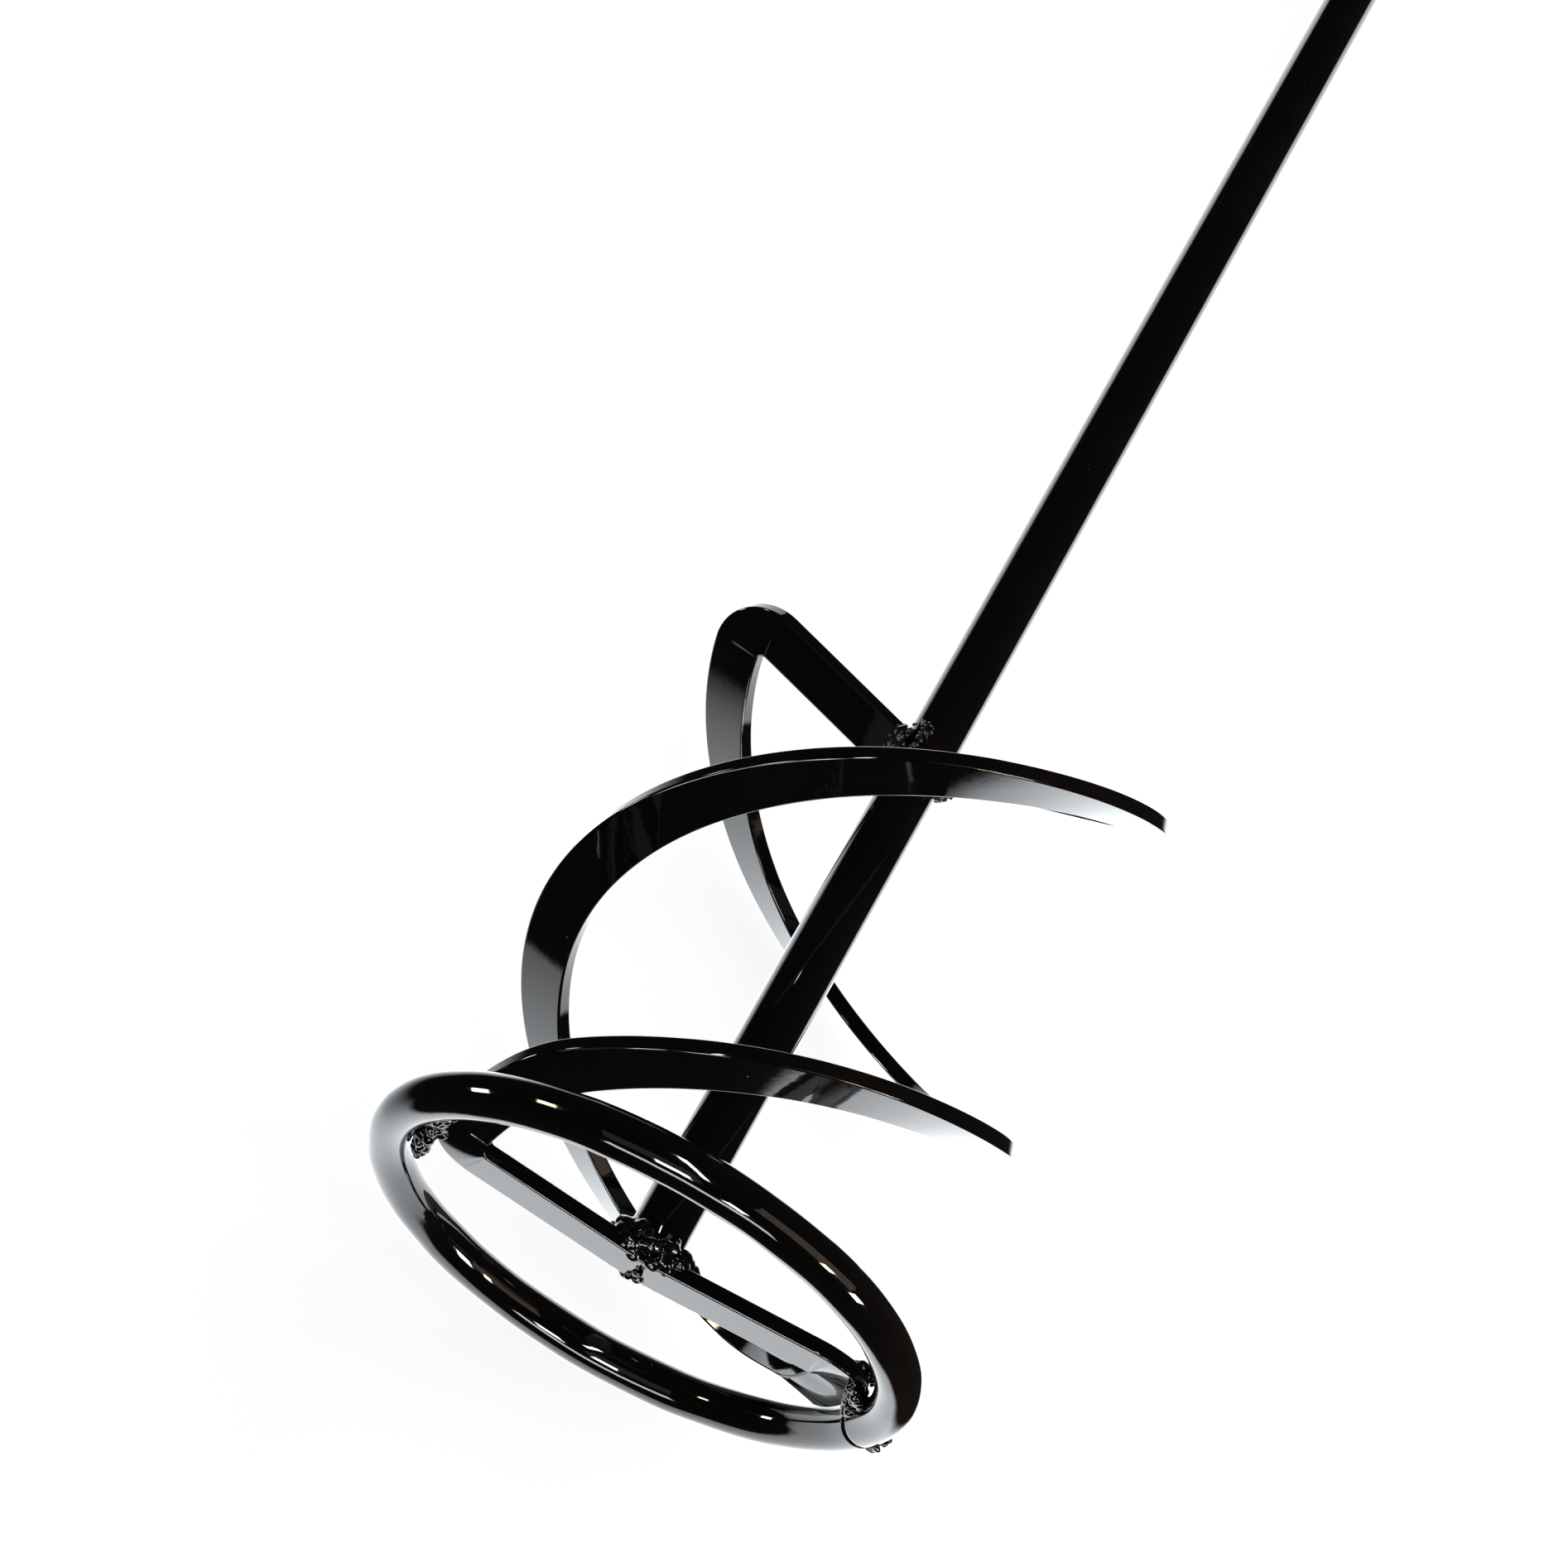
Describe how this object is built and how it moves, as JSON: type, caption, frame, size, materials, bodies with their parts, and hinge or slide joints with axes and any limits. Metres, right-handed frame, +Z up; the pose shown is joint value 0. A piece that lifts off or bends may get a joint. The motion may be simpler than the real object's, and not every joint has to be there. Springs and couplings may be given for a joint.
{
  "type": "mortar mixing paddle",
  "caption": "Welded steel mortar mixing paddle: a round shaft with opposed helical flat-bar blades, a round bottom hoop and a threaded drive end.",
  "frame": {"origin": "centre of the hoop's lowest edge, on the shaft's axis, where the paddle stands", "axes": "+Z up the shaft towards the threaded drive end; -Y is the front; blade B's lower arm points along +X, 5 degrees towards the front"},
  "size_m": [0.14, 0.14, 0.6],
  "materials": {
    "black_enamel": "high gloss black enamel",
    "painted_weld": "high gloss black enamel over an uneven weld bead"
  },
  "bodies": {
    "root": {"shaft": "black_enamel", "stop_nut": "black_enamel", "hoop": "black_enamel", "blade_a": "black_enamel", "blade_b": "black_enamel", "root_weld": "painted_weld", "foot_fillet": "painted_weld", "rim_weld_a": "painted_weld", "rim_weld_b": "painted_weld", "arm_weld_a": "painted_weld", "arm_weld_b": "painted_weld", "hoop_seam": "painted_weld", "nut_fillet": "painted_weld"}
  },
  "joints": []
}
